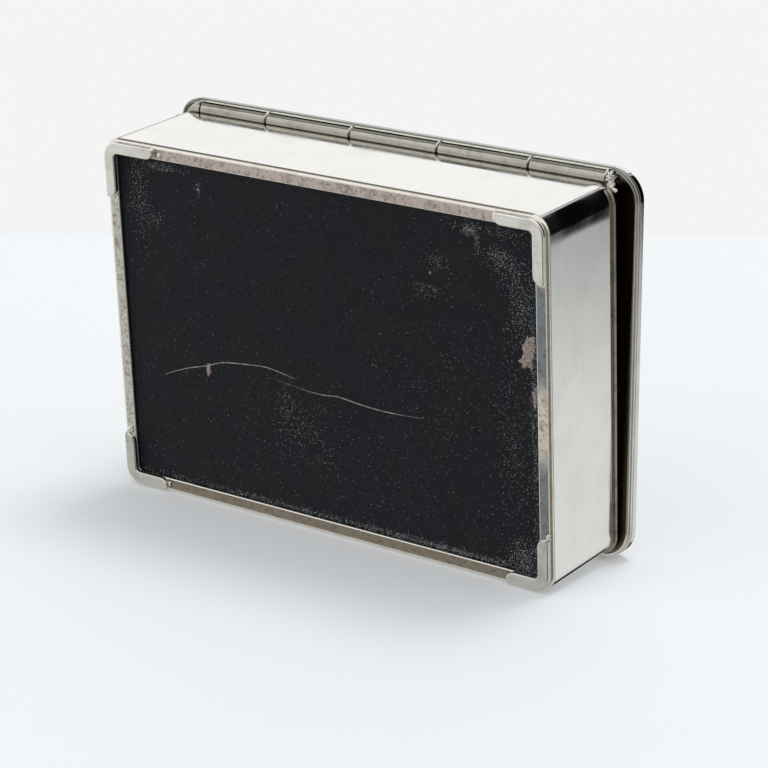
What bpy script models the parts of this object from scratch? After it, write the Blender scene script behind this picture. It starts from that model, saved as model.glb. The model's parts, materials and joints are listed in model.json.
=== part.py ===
"""A table tobacco box of sheet silver on four corner feet, lined with cedar, with a lid on a long hinge.

Lengths are in metres. The box stands on its feet. +X is to the right of someone in front of it, +Y runs
towards the hinge at its back and +Z up. The origin is under the middle of the body, on the surface that the
feet stand on.

The hinge barrel lies along the top edge of the back wall, so it holds the back of the closed lid up. The lid
leans forward from there until its front rests on the rim.
"""

import math

import bmesh
import bpy
from mathutils import Matrix

# Body
BODY_LENGTH = 0.165
BODY_DEPTH = 0.1165
BODY_CORNER_RADIUS = 0.006
WALL_HEIGHT = 0.0353
BODY_SHEET = 0.0008
BOTTOM_EDGE_RADIUS = 0.001
FLANGE_WIDTH = 0.0046
RIM_WIRE_HEIGHT = 0.0023
RIM_WIRE_THICKNESS = 0.0006

# A soldered or glued seam between two pieces
SEAM = 0.0003

# Feet, flat plates cut by hand to an L. The leg shares give each one's legs along X and Y beside the longest.
FOOT_THICKNESS = 0.0012
FOOT_WIDTH = 0.0039
FOOT_LONGEST_LEG = 0.02
FOOT_INSET = 0.0008
FOOT_LEG_SHARES = {
    "foot_back_left": (0.865, 1.0),
    "foot_back_right": (1.0, 0.915),
    "foot_front_left": (0.765, 0.87),
    "foot_front_right": (0.85, 0.845),
}

# Base board and its leather cover, laid in the body on the flange
LEATHER_THICKNESS = 0.0008
BASE_BOARD_THICKNESS = 0.0025

# Cedar lining
BOTTOM_LINER_THICKNESS = 0.0015
WALL_LINER_THICKNESS = 0.0025
LINER_BELOW_RIM = 0.0005

# Hinge, soldered on a little to the left of the body's middle
BARREL_RADIUS = 0.003
HINGE_STAND_OFF = 0.00035
HINGE_END_INSET = 0.0063
HINGE_TO_LEFT = 0.0028
END_KNUCKLE_LENGTH = 0.02685
KNUCKLE_EDGE = 0.0002
KNUCKLE_JOINT = 0.0003
PIN_RADIUS = 0.001
PIN_PLAY = 0.0001
PIN_NOSE_LENGTH = 0.005
PIN_SOLDER_LENGTH = 0.0022
PIN_SOLDER_RADIUS = 0.0027

# Lid
LID_SIDE_OVERHANG = 0.0038
LID_BACK_OVERHANG = 0.0024
LID_FRONT_OVERHANG = 0.0026
LID_CORNER_RADIUS = 0.0095
LID_HEIGHT = 0.0047
LID_SHEET = 0.0007
LID_TOP_EDGE_RADIUS = 0.001
LID_FRAME_THICKNESS = 0.0008
LID_FRAME_WIDTH = 0.012
LID_FRAME_RECESS = 0.0002

# Moulding under the lid's edge, a large bead over a small one that is set further in
MOULDING_THICKNESS = 0.0011
LARGE_BEAD_HEIGHT = 0.0013
LARGE_BEAD_THICKNESS = 0.0004
SMALL_BEAD_HEIGHT = 0.0008
SMALL_BEAD_THICKNESS = 0.0003
SMALL_BEAD_INSET = 0.0004

# What a cutter runs past the piece that it trims
OVERRUN = 0.002

# Counts of flat steps
CORNER_STEPS = 8
SMALL_ARC_STEPS = 3
BEAD_STEPS = 6
TURN_STEPS = 32
NOSE_STEPS = 7
# Vertices closer than this are one, far under any size above
WELD_DISTANCE = 0.00001

# Heights, from the surface that the feet stand on
FLANGE_BOTTOM = FOOT_THICKNESS + SEAM
RIM_TOP = FLANGE_BOTTOM + WALL_HEIGHT
LEATHER_BOTTOM = FLANGE_BOTTOM + BODY_SHEET + SEAM
BASE_BOARD_BOTTOM = LEATHER_BOTTOM + LEATHER_THICKNESS + SEAM
BOTTOM_LINER_BOTTOM = BASE_BOARD_BOTTOM + BASE_BOARD_THICKNESS + SEAM
WALL_LINER_BOTTOM = BOTTOM_LINER_BOTTOM + BOTTOM_LINER_THICKNESS + SEAM
WALL_LINER_TOP = RIM_TOP - LINER_BELOW_RIM
HINGE_HEIGHT = RIM_TOP + math.sqrt((BARREL_RADIUS + SEAM) ** 2 - HINGE_STAND_OFF**2)

# Lengths and places across the box
HALF_HINGE_LENGTH = BODY_LENGTH / 2 - HINGE_END_INSET
MIDDLE_KNUCKLE_LENGTH = (HALF_HINGE_LENGTH - END_KNUCKLE_LENGTH) * 2 / 3
LINING_LENGTH = BODY_LENGTH - 2 * (BODY_SHEET + SEAM)
LINING_DEPTH = BODY_DEPTH - 2 * (BODY_SHEET + SEAM)
LINING_CORNER_RADIUS = BODY_CORNER_RADIUS - BODY_SHEET - SEAM
HINGE_BACK = BODY_DEPTH / 2 + HINGE_STAND_OFF

# The lid, measured from the hinge axis while it is level
LID_LENGTH = BODY_LENGTH + 2 * LID_SIDE_OVERHANG
LID_DEPTH = BODY_DEPTH + LID_BACK_OVERHANG + LID_FRONT_OVERHANG
LID_CENTRE = LID_BACK_OVERHANG - HINGE_STAND_OFF - LID_DEPTH / 2
LID_FRAME_BOTTOM = BARREL_RADIUS + SEAM
LID_RISE = LID_FRAME_BOTTOM - LID_FRAME_RECESS
LID_SHELL_BOTTOM = LID_RISE + LARGE_BEAD_HEIGHT + SMALL_BEAD_HEIGHT + SEAM
LID_LINER_BOTTOM = LID_FRAME_BOTTOM + LID_FRAME_THICKNESS + SEAM
LID_LINER_THICKNESS = LID_RISE + LID_HEIGHT - LID_SHEET - SEAM - LID_LINER_BOTTOM
LID_INSIDE_INSET = max(MOULDING_THICKNESS, LID_SHEET) + SEAM


def closing_angle():
    """The lean of the lid that leaves one seam between its underside and the front of the rim."""
    reach = HINGE_BACK + BODY_DEPTH / 2 + SEAM + RIM_WIRE_THICKNESS
    down_to_rim = HINGE_HEIGHT - RIM_TOP - SEAM
    return math.atan2(LID_FRAME_BOTTOM, reach) + math.asin(down_to_rim / math.hypot(reach, LID_FRAME_BOTTOM))


def clear_scene():
    """Leaves no object of the startup scene."""
    for old in list(bpy.data.objects):
        bpy.data.objects.remove(old)


def new_collection(name):
    """A collection linked to the scene."""
    made = bpy.data.collections.new(name)
    bpy.context.scene.collection.children.link(made)
    return made


def finish(name, colour, metallic, roughness):
    """A Principled BSDF material in one linear colour."""
    made = bpy.data.materials.new(name)
    made.use_nodes = True
    shader = made.node_tree.nodes["Principled BSDF"]
    shader.inputs["Base Color"].default_value = (*colour, 1)
    shader.inputs["Metallic"].default_value = metallic
    shader.inputs["Roughness"].default_value = roughness
    made.diffuse_color = (*colour, 1)
    return made


def add_object(name, data, collection, material=None):
    """An object of this data, in its collection and with its material."""
    made = bpy.data.objects.new(name, data)
    collection.objects.link(made)
    if material:
        data.materials.append(material)
    return made


def arc(centre, radii, start_degrees, end_degrees, steps):
    """Points along a round or elliptical arc, both ends included."""
    points = []
    for step in range(steps + 1):
        angle = math.radians(start_degrees + (end_degrees - start_degrees) * step / steps)
        points.append((centre[0] + radii[0] * math.cos(angle), centre[1] + radii[1] * math.sin(angle)))
    return points


def round_arc(centre, radius, start_degrees, end_degrees, steps):
    """Points along a circular arc."""
    return arc(centre, (radius, radius), start_degrees, end_degrees, steps)


def rounded_outline(length, depth, radius, middle=0):
    """A rectangle with round corners, anticlockwise, centred on X and on Y = middle."""
    right = length / 2 - radius
    back = depth / 2 - radius
    points = []
    for x, y, start in ((right, back, 0), (-right, back, 90), (-right, -back, 180), (right, -back, 270)):
        points += round_arc((x, middle + y), radius, start, start + 90, CORNER_STEPS)
    return points


def poly_curve(name, dimensions, outlines, closed=True):
    """Curve data with one spline of straight runs for each outline."""
    made = bpy.data.curves.new(name, "CURVE")
    made.dimensions = dimensions
    for outline in outlines:
        spline = made.splines.new("POLY")
        spline.points.add(len(outline) - 1)
        for point, (x, y) in zip(spline.points, outline):
            point.co = (x, y, 0, 1)
        spline.use_cyclic_u = closed
    return made


def plate(name, outlines, bottom, thickness, collection, material=None):
    """A flat sheet of this outline and of any holes in it, from its lower face up."""
    data = poly_curve(name, "2D", outlines)
    data.fill_mode = "BOTH"
    data.extrude = thickness / 2
    made = add_object(name, data, collection, material)
    made.location.z = bottom + thickness / 2
    return made


def as_mesh(source, name, collection):
    """The curve object as a mesh object, with its caps welded on. The curve is removed."""
    bpy.context.view_layer.update()
    evaluated = source.evaluated_get(bpy.context.evaluated_depsgraph_get())
    mesh = bpy.data.meshes.new_from_object(evaluated)
    working = bmesh.new()
    working.from_mesh(mesh)
    bmesh.ops.remove_doubles(working, verts=working.verts, dist=WELD_DISTANCE)
    working.to_mesh(mesh)
    working.free()
    made = bpy.data.objects.new(name, mesh)
    made.matrix_world = source.matrix_world
    collection.objects.link(made)
    bpy.data.objects.remove(source)
    return made


def moulding(name, outline, profile, height, collection, material, guides, closed=True):
    """A strip that runs round an outline, or along it. The profile's points are (outwards, up), clockwise."""
    section = add_object(name + "_section", poly_curve(name + "_section", "2D", [profile]), guides)
    section.data.fill_mode = "NONE"
    section.hide_render = True
    section.display_type = "WIRE"
    data = poly_curve(name, "3D", [outline], closed)
    data.use_fill_caps = not closed
    data.twist_mode = "Z_UP"
    data.bevel_mode = "OBJECT"
    data.bevel_object = section
    made = add_object(name, data, collection, material)
    made.location.z = height
    return made


def block(name, low, high, collection, material=None):
    """A box between two corners, with its origin at its middle."""
    sides = [b - a for a, b in zip(low, high)]
    working = bmesh.new()
    bmesh.ops.create_cube(working, size=1, matrix=Matrix.Diagonal((*sides, 1)))
    mesh = bpy.data.meshes.new(name)
    working.to_mesh(mesh)
    working.free()
    made = add_object(name, mesh, collection, material)
    made.location = [(a + b) / 2 for a, b in zip(low, high)]
    return made


def turned(name, profile, place, collection, material):
    """A piece turned about the hinge line. The profile's points are (radius, along), from its right end to
    its left, and along is measured towards the right, +X, from the piece's place."""
    mesh = bpy.data.meshes.new(name)
    working = bmesh.new()
    corners = [working.verts.new((radius, 0, along)) for radius, along in profile]
    for first, second in zip(corners, corners[1:]):
        working.edges.new((first, second))
    if min(radius for radius, _ in profile) > 0:
        working.edges.new((corners[-1], corners[0]))
    working.to_mesh(mesh)
    working.free()
    made = add_object(name, mesh, collection, material)
    made.location = place
    made.rotation_euler.y = math.radians(90)
    screw = made.modifiers.new("Turn", "SCREW")
    screw.axis = "Z"
    screw.steps = TURN_STEPS
    screw.render_steps = TURN_STEPS
    screw.use_merge_vertices = True
    screw.merge_threshold = WELD_DISTANCE
    screw.use_smooth_shade = True
    return made


def body_shell(parts, guides, silver):
    """Four walls of sheet silver in one band, turned in at the bottom to a narrow flange."""
    edge_middle = (-BOTTOM_EDGE_RADIUS, BOTTOM_EDGE_RADIUS)
    profile = [(-BODY_SHEET, WALL_HEIGHT), (0, WALL_HEIGHT)]
    profile += round_arc(edge_middle, BOTTOM_EDGE_RADIUS, 0, -90, SMALL_ARC_STEPS)
    profile += [(-FLANGE_WIDTH, 0), (-FLANGE_WIDTH, BODY_SHEET), (-BODY_SHEET, BODY_SHEET)]
    outline = rounded_outline(BODY_LENGTH, BODY_DEPTH, BODY_CORNER_RADIUS)
    moulding("body_shell", outline, profile, FLANGE_BOTTOM, parts, silver, guides)


def rim_wire(parts, guides, silver):
    """The half-round wire soldered round the top of the walls, from the middle of one back corner round the
    sides and the front to the middle of the other."""
    middle = (SEAM, RIM_WIRE_HEIGHT / 2)
    profile = arc(middle, (RIM_WIRE_THICKNESS, RIM_WIRE_HEIGHT / 2), 90, -90, BEAD_STEPS)
    outline = rounded_outline(BODY_LENGTH, BODY_DEPTH, BODY_CORNER_RADIUS)
    half_corner = CORNER_STEPS // 2
    run = outline[CORNER_STEPS + 1 + half_corner:] + outline[:half_corner + 1]
    moulding("body_rim_wire", run, profile, RIM_TOP - RIM_WIRE_HEIGHT, parts, silver, guides, closed=False)


def foot_outline(side, front_or_back, leg_shares):
    """An L round one corner of the body. Each leg ends in a quarter round with its tip on the outer edge."""
    x = BODY_LENGTH / 2 - FOOT_INSET
    y = BODY_DEPTH / 2 - FOOT_INSET
    outer = BODY_CORNER_RADIUS - FOOT_INSET
    inner = outer - FOOT_WIDTH
    along_x = FOOT_LONGEST_LEG * leg_shares[0]
    along_y = FOOT_LONGEST_LEG * leg_shares[1]
    points = round_arc((x - outer, y - outer), outer, 0, 90, CORNER_STEPS)
    points += round_arc((x - along_x + FOOT_WIDTH, y), FOOT_WIDTH, 180, 270, CORNER_STEPS)
    points += round_arc((x - outer, y - outer), inner, 90, 0, SMALL_ARC_STEPS)
    points += round_arc((x, y - along_y + FOOT_WIDTH), FOOT_WIDTH, 180, 270, CORNER_STEPS)
    return [(side * across, front_or_back * deep) for across, deep in points]


def feet(parts, silver):
    """Four flat L plates under the corners."""
    for name, leg_shares in FOOT_LEG_SHARES.items():
        side = 1 if "right" in name else -1
        front_or_back = 1 if "back" in name else -1
        plate(name, [foot_outline(side, front_or_back, leg_shares)], 0, FOOT_THICKNESS, parts, silver)


def base(parts, leather, cedar):
    """The leather-covered board that closes the body's underside, and the bottom of the lining."""
    outline = rounded_outline(LINING_LENGTH, LINING_DEPTH, LINING_CORNER_RADIUS)
    plate("base_leather", [outline], LEATHER_BOTTOM, LEATHER_THICKNESS, parts, leather)
    plate("base_board", [outline], BASE_BOARD_BOTTOM, BASE_BOARD_THICKNESS, parts, cedar)
    plate("liner_bottom", [outline], BOTTOM_LINER_BOTTOM, BOTTOM_LINER_THICKNESS, parts, cedar)


def wall_liners(parts, guides, cedar):
    """Four upright cedar boards. The long ones run from wall to wall and the short ones stand between them,
    and each is trimmed to the round inside corners of the body."""
    outline = rounded_outline(LINING_LENGTH, LINING_DEPTH, LINING_CORNER_RADIUS)
    height = WALL_LINER_TOP - WALL_LINER_BOTTOM
    slab = plate("lining_space", [outline], WALL_LINER_BOTTOM - OVERRUN, height + 2 * OVERRUN, guides)
    space = as_mesh(slab, "lining_space_cutter", guides)
    space.hide_render = True
    space.display_type = "WIRE"
    x = LINING_LENGTH / 2
    y = LINING_DEPTH / 2
    inner_x = x - WALL_LINER_THICKNESS
    inner_y = y - WALL_LINER_THICKNESS
    boards = {
        "liner_back": ((-x - OVERRUN, inner_y), (x + OVERRUN, y + OVERRUN)),
        "liner_front": ((-x - OVERRUN, -y - OVERRUN), (x + OVERRUN, -inner_y)),
        "liner_left": ((-x - OVERRUN, -inner_y + SEAM), (-inner_x, inner_y - SEAM)),
        "liner_right": ((inner_x, -inner_y + SEAM), (x + OVERRUN, inner_y - SEAM)),
    }
    for name, (low, high) in boards.items():
        board = block(name, (*low, WALL_LINER_BOTTOM), (*high, WALL_LINER_TOP), parts, cedar)
        trim = board.modifiers.new("Trim", "BOOLEAN")
        trim.operation = "INTERSECT"
        trim.object = space


def knuckle_profile(length):
    """Half the section of a short tube with eased outer ends, from its right end round to its bore."""
    bore = PIN_RADIUS + PIN_PLAY
    half = length / 2
    return [
        (BARREL_RADIUS - KNUCKLE_EDGE, half),
        (BARREL_RADIUS, half - KNUCKLE_EDGE),
        (BARREL_RADIUS, KNUCKLE_EDGE - half),
        (BARREL_RADIUS - KNUCKLE_EDGE, -half),
        (bore, -half),
        (bore, half),
    ]


def knuckles(parts, silver, lid_pivot):
    """Five tubes in line along the back wall's top edge, from the right. The second and fourth turn with the
    lid."""
    lengths = [END_KNUCKLE_LENGTH, *[MIDDLE_KNUCKLE_LENGTH] * 3, END_KNUCKLE_LENGTH]
    right_end = HALF_HINGE_LENGTH - HINGE_TO_LEFT
    for number, length in enumerate(lengths, start=1):
        on_lid = number in (2, 4)
        middle = right_end - length / 2
        place = (middle, 0, 0) if on_lid else (middle, HINGE_BACK, HINGE_HEIGHT)
        profile = knuckle_profile(length - KNUCKLE_JOINT)
        tube = turned(f"hinge_knuckle_{number}", profile, place, parts, silver)
        if on_lid:
            tube.parent = lid_pivot
        right_end -= length


def hinge_pin(parts, silver):
    """The pin with its bullet nose at the right, and the lump of solder that holds its other end."""
    place = (-HINGE_TO_LEFT, HINGE_BACK, HINGE_HEIGHT)
    nose_base = HALF_HINGE_LENGTH + KNUCKLE_JOINT
    nose = arc((0, nose_base), (BARREL_RADIUS, PIN_NOSE_LENGTH), 90, 0, NOSE_STEPS)
    nose[0] = (0, nose[0][1])
    shaft = [(PIN_RADIUS, nose_base), (PIN_RADIUS, -HALF_HINGE_LENGTH), (0, -HALF_HINGE_LENGTH)]
    turned("hinge_pin", nose + shaft, place, parts, silver)
    lump_base = -HALF_HINGE_LENGTH - SEAM
    lump = arc((0, lump_base), (PIN_SOLDER_RADIUS, PIN_SOLDER_LENGTH), 0, -90, NOSE_STEPS)
    lump[-1] = (0, lump[-1][1])
    turned("hinge_pin_solder", [(0, lump_base)] + lump, place, parts, silver)


def lid_shell(parts, silver):
    """The lid's top and its turned-down sides, one sheet with an eased upper edge."""
    outline = rounded_outline(LID_LENGTH, LID_DEPTH, LID_CORNER_RADIUS, LID_CENTRE)
    height = LID_RISE + LID_HEIGHT - LID_SHELL_BOTTOM
    slab = plate("lid_sheet", [outline], LID_SHELL_BOTTOM, height, parts)
    slab.data.fill_mode = "FRONT"
    made = as_mesh(slab, "lid_shell", parts)
    made.data.materials.append(silver)
    working = bmesh.new()
    working.from_mesh(made.data)
    bmesh.ops.dissolve_limit(working, angle_limit=math.radians(1), verts=working.verts, edges=working.edges)
    top = max(vertex.co.z for vertex in working.verts)
    rim = [edge for edge in working.edges if all(top - vertex.co.z < WELD_DISTANCE for vertex in edge.verts)]
    bmesh.ops.bevel(
        working, geom=rim, offset=LID_TOP_EDGE_RADIUS, segments=SMALL_ARC_STEPS, affect="EDGES", profile=0.5
    )
    working.to_mesh(made.data)
    working.free()
    sheet = made.modifiers.new("Sheet", "SOLIDIFY")
    sheet.thickness = LID_SHEET
    sheet.use_even_offset = True
    return made


def bead(bottom, height, thickness, inset):
    """Half an ellipse, from its top to its bottom, whose crown lies this far inside the lid's outer face."""
    return arc((-inset - thickness, bottom + height / 2), (thickness, height / 2), 90, -90, BEAD_STEPS)


def lid_moulding(parts, guides, silver):
    """The strip soldered under the lid's edge. Its large bead is flush with the lid's outer face."""
    small = bead(0, SMALL_BEAD_HEIGHT, SMALL_BEAD_THICKNESS, SMALL_BEAD_INSET)
    large = bead(SMALL_BEAD_HEIGHT, LARGE_BEAD_HEIGHT, LARGE_BEAD_THICKNESS, 0)
    back_face = [(-MOULDING_THICKNESS, 0), (-MOULDING_THICKNESS, SMALL_BEAD_HEIGHT + LARGE_BEAD_HEIGHT)]
    outline = rounded_outline(LID_LENGTH, LID_DEPTH, LID_CORNER_RADIUS, LID_CENTRE)
    return moulding("lid_rim_moulding", outline, back_face + large + small, LID_RISE, parts, silver, guides)


def lid_inside(parts, silver, cedar):
    """The flat frame that closes the lid's underside round its edge, and the cedar board above it."""
    length = LID_LENGTH - 2 * LID_INSIDE_INSET
    depth = LID_DEPTH - 2 * LID_INSIDE_INSET
    outer = rounded_outline(length, depth, LID_CORNER_RADIUS - LID_INSIDE_INSET, LID_CENTRE)
    opening = rounded_outline(
        length - 2 * LID_FRAME_WIDTH,
        depth - 2 * LID_FRAME_WIDTH,
        LINING_CORNER_RADIUS,
        LID_CENTRE,
    )
    frame = plate("lid_frame", [outer, opening], LID_FRAME_BOTTOM, LID_FRAME_THICKNESS, parts, silver)
    liner = plate("lid_liner", [outer], LID_LINER_BOTTOM, LID_LINER_THICKNESS, parts, cedar)
    return [frame, liner]


def build():
    """Builds the box with its lid closed."""
    clear_scene()
    parts = new_collection("tobacco_box")
    guides = new_collection("guides_and_cutters")
    silver = finish("polished_silver", (0.80, 0.79, 0.76), 1, 0.12)
    worn_silver = finish("tarnished_silver", (0.62, 0.59, 0.54), 1, 0.22)
    leather = finish("black_leather", (0.012, 0.014, 0.018), 0, 0.5)
    cedar = finish("cedar", (0.33, 0.15, 0.07), 0, 0.6)
    lid_pivot = bpy.data.objects.new("lid_pivot", None)
    parts.objects.link(lid_pivot)
    lid_pivot.location = (0, HINGE_BACK, HINGE_HEIGHT)
    lid_pivot.rotation_euler.x = closing_angle()
    body_shell(parts, guides, silver)
    rim_wire(parts, guides, silver)
    feet(parts, silver)
    base(parts, leather, cedar)
    wall_liners(parts, guides, cedar)
    knuckles(parts, worn_silver, lid_pivot)
    hinge_pin(parts, worn_silver)
    lid_pieces = [lid_shell(parts, silver), lid_moulding(parts, guides, silver)]
    for piece in lid_pieces + lid_inside(parts, silver, cedar):
        piece.parent = lid_pivot
    print(f"hinge axis at y {HINGE_BACK:.5f}, z {HINGE_HEIGHT:.5f} m")
    print(f"closed lid leans forward {math.degrees(closing_angle()):.3f} degrees")


build()
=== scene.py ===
"""The looks of a table tobacco box of sheet silver, with a leather-covered base and a cedar lining.

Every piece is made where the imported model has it: the box stands on its feet, +X is to its right, +Y runs
towards the hinge at its back and +Z up. Lengths are in metres. The photograph shows the box lying on its
front, so the camera looks up at the base, and the studio has a floor in front of the box as well as under it.
"""

import json
import logging
import math
import random
from dataclasses import dataclass
from enum import Enum
from typing import Sequence

import bmesh
import bpy
from mathutils import Euler, Matrix, Vector, noise


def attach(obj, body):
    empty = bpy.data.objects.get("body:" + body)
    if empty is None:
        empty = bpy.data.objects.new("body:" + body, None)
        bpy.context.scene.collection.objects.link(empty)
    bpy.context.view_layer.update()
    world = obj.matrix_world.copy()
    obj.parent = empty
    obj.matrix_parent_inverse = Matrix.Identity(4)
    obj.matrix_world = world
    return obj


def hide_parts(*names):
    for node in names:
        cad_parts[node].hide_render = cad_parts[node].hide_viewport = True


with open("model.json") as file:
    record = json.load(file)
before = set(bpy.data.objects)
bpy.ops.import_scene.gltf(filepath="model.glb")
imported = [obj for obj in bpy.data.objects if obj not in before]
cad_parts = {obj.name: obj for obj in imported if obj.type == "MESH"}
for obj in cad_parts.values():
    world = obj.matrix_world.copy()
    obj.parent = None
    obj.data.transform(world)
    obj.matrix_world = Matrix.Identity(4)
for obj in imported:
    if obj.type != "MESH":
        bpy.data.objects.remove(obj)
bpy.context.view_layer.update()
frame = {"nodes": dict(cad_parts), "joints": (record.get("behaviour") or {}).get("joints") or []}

LOG = logging.getLogger("tobacco_box")
WELD = 0.000005
Point = tuple[float, float]
Place = tuple[float, float, float]
Piece = bpy.types.Object
Shape = bmesh.types.BMesh
Socket = bpy.types.NodeSocket
Tree = bpy.types.NodeTree


class Run(Enum):
    """The way that grain or brush marks run, as shares of their length along X, Y and Z."""

    ALONG_X = (1.0, 0.0, 0.0)
    ALONG_Y = (0.0, 1.0, 0.0)

    def scale(self, width: float, length: float) -> Vector:
        """The scale that makes a pattern this wide across the run and this long along it."""
        return Vector([share / length + (1 - share) / width for share in self.value])


def linear(colour: str) -> tuple[float, float, float, float]:
    """Turns an sRGB colour to linear light.

    Args:
        colour: Six hex digits after a hash.

    Returns:
        The linear red, green and blue, and an alpha of 1.
    """
    parts = [int(colour[start:start + 2], 16) / 255 for start in (1, 3, 5)]
    light = [part / 12.92 if part <= 0.04045 else ((part + 0.055) / 1.055) ** 2.4 for part in parts]
    return (*light, 1.0)


def feed(tree: Tree, node: bpy.types.Node, inputs: dict) -> None:
    """Gives a node's inputs what they work with.

    Args:
        tree: The node tree.
        node: One of its nodes.
        inputs: By the input's name or number, a socket to link, a colour in sRGB hex, or a plain value.
    """
    for name, given in inputs.items():
        if isinstance(given, Socket):
            tree.links.new(given, node.inputs[name])
        else:
            node.inputs[name].default_value = linear(given) if isinstance(given, str) else given


def add_node(tree: Tree, kind: str, inputs: dict | None = None, **settings: object) -> bpy.types.Node:
    """Adds a node with its settings and links.

    Args:
        tree: The node tree that gets it.
        kind: The part of the node's type name after ShaderNode.
        inputs: What its inputs work with, as in feed.
        settings: Properties of the node itself.

    Returns:
        The new node.
    """
    made = tree.nodes.new("ShaderNode" + kind)
    for name, setting in settings.items():
        setattr(made, name, setting)
    feed(tree, made, inputs or {})
    return made


def coat(tree: Tree, under: Socket | str, over: Socket | str, pattern: Socket, edges: Point,
         most: Socket | float = 1.0) -> Socket:
    """Lays a tone over the colour so far, where a pattern asks for it.

    Args:
        tree: The node tree.
        under: The colour so far.
        over: The tone.
        pattern: The pattern's value.
        edges: The values at which the tone starts to show and at which it shows most.
        most: How much of it shows there.

    Returns:
        The socket of the colour with its coat.
    """
    share = add_node(tree, "MapRange",
                     {"Value": pattern, "From Min": edges[0], "From Max": edges[1], "To Max": most},
                     interpolation_type="SMOOTHSTEP").outputs["Result"]
    return add_node(tree, "Mix", {0: share, 6: under, 7: over}, data_type="RGBA").outputs[2]


@dataclass(frozen=True)
class Finish:
    """What a surface is. Each kind of finish says what its shader works with."""

    name: str

    def material(self) -> bpy.types.Material:
        """The finish as a material, made once.

        Returns:
            The material.
        """
        made = bpy.data.materials.get(self.name)
        if made:
            return made
        made = bpy.data.materials.new(self.name)
        made.use_nodes = True
        tree = made.node_tree
        place = add_node(tree, "TexCoord").outputs["Object"]
        feed(tree, tree.nodes["Principled BSDF"], self.surface(tree, place))
        return made

    def surface(self, tree: Tree, place: Socket) -> dict:
        """What the shader works with, sockets and values, by the name of its input."""
        raise NotImplementedError


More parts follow.
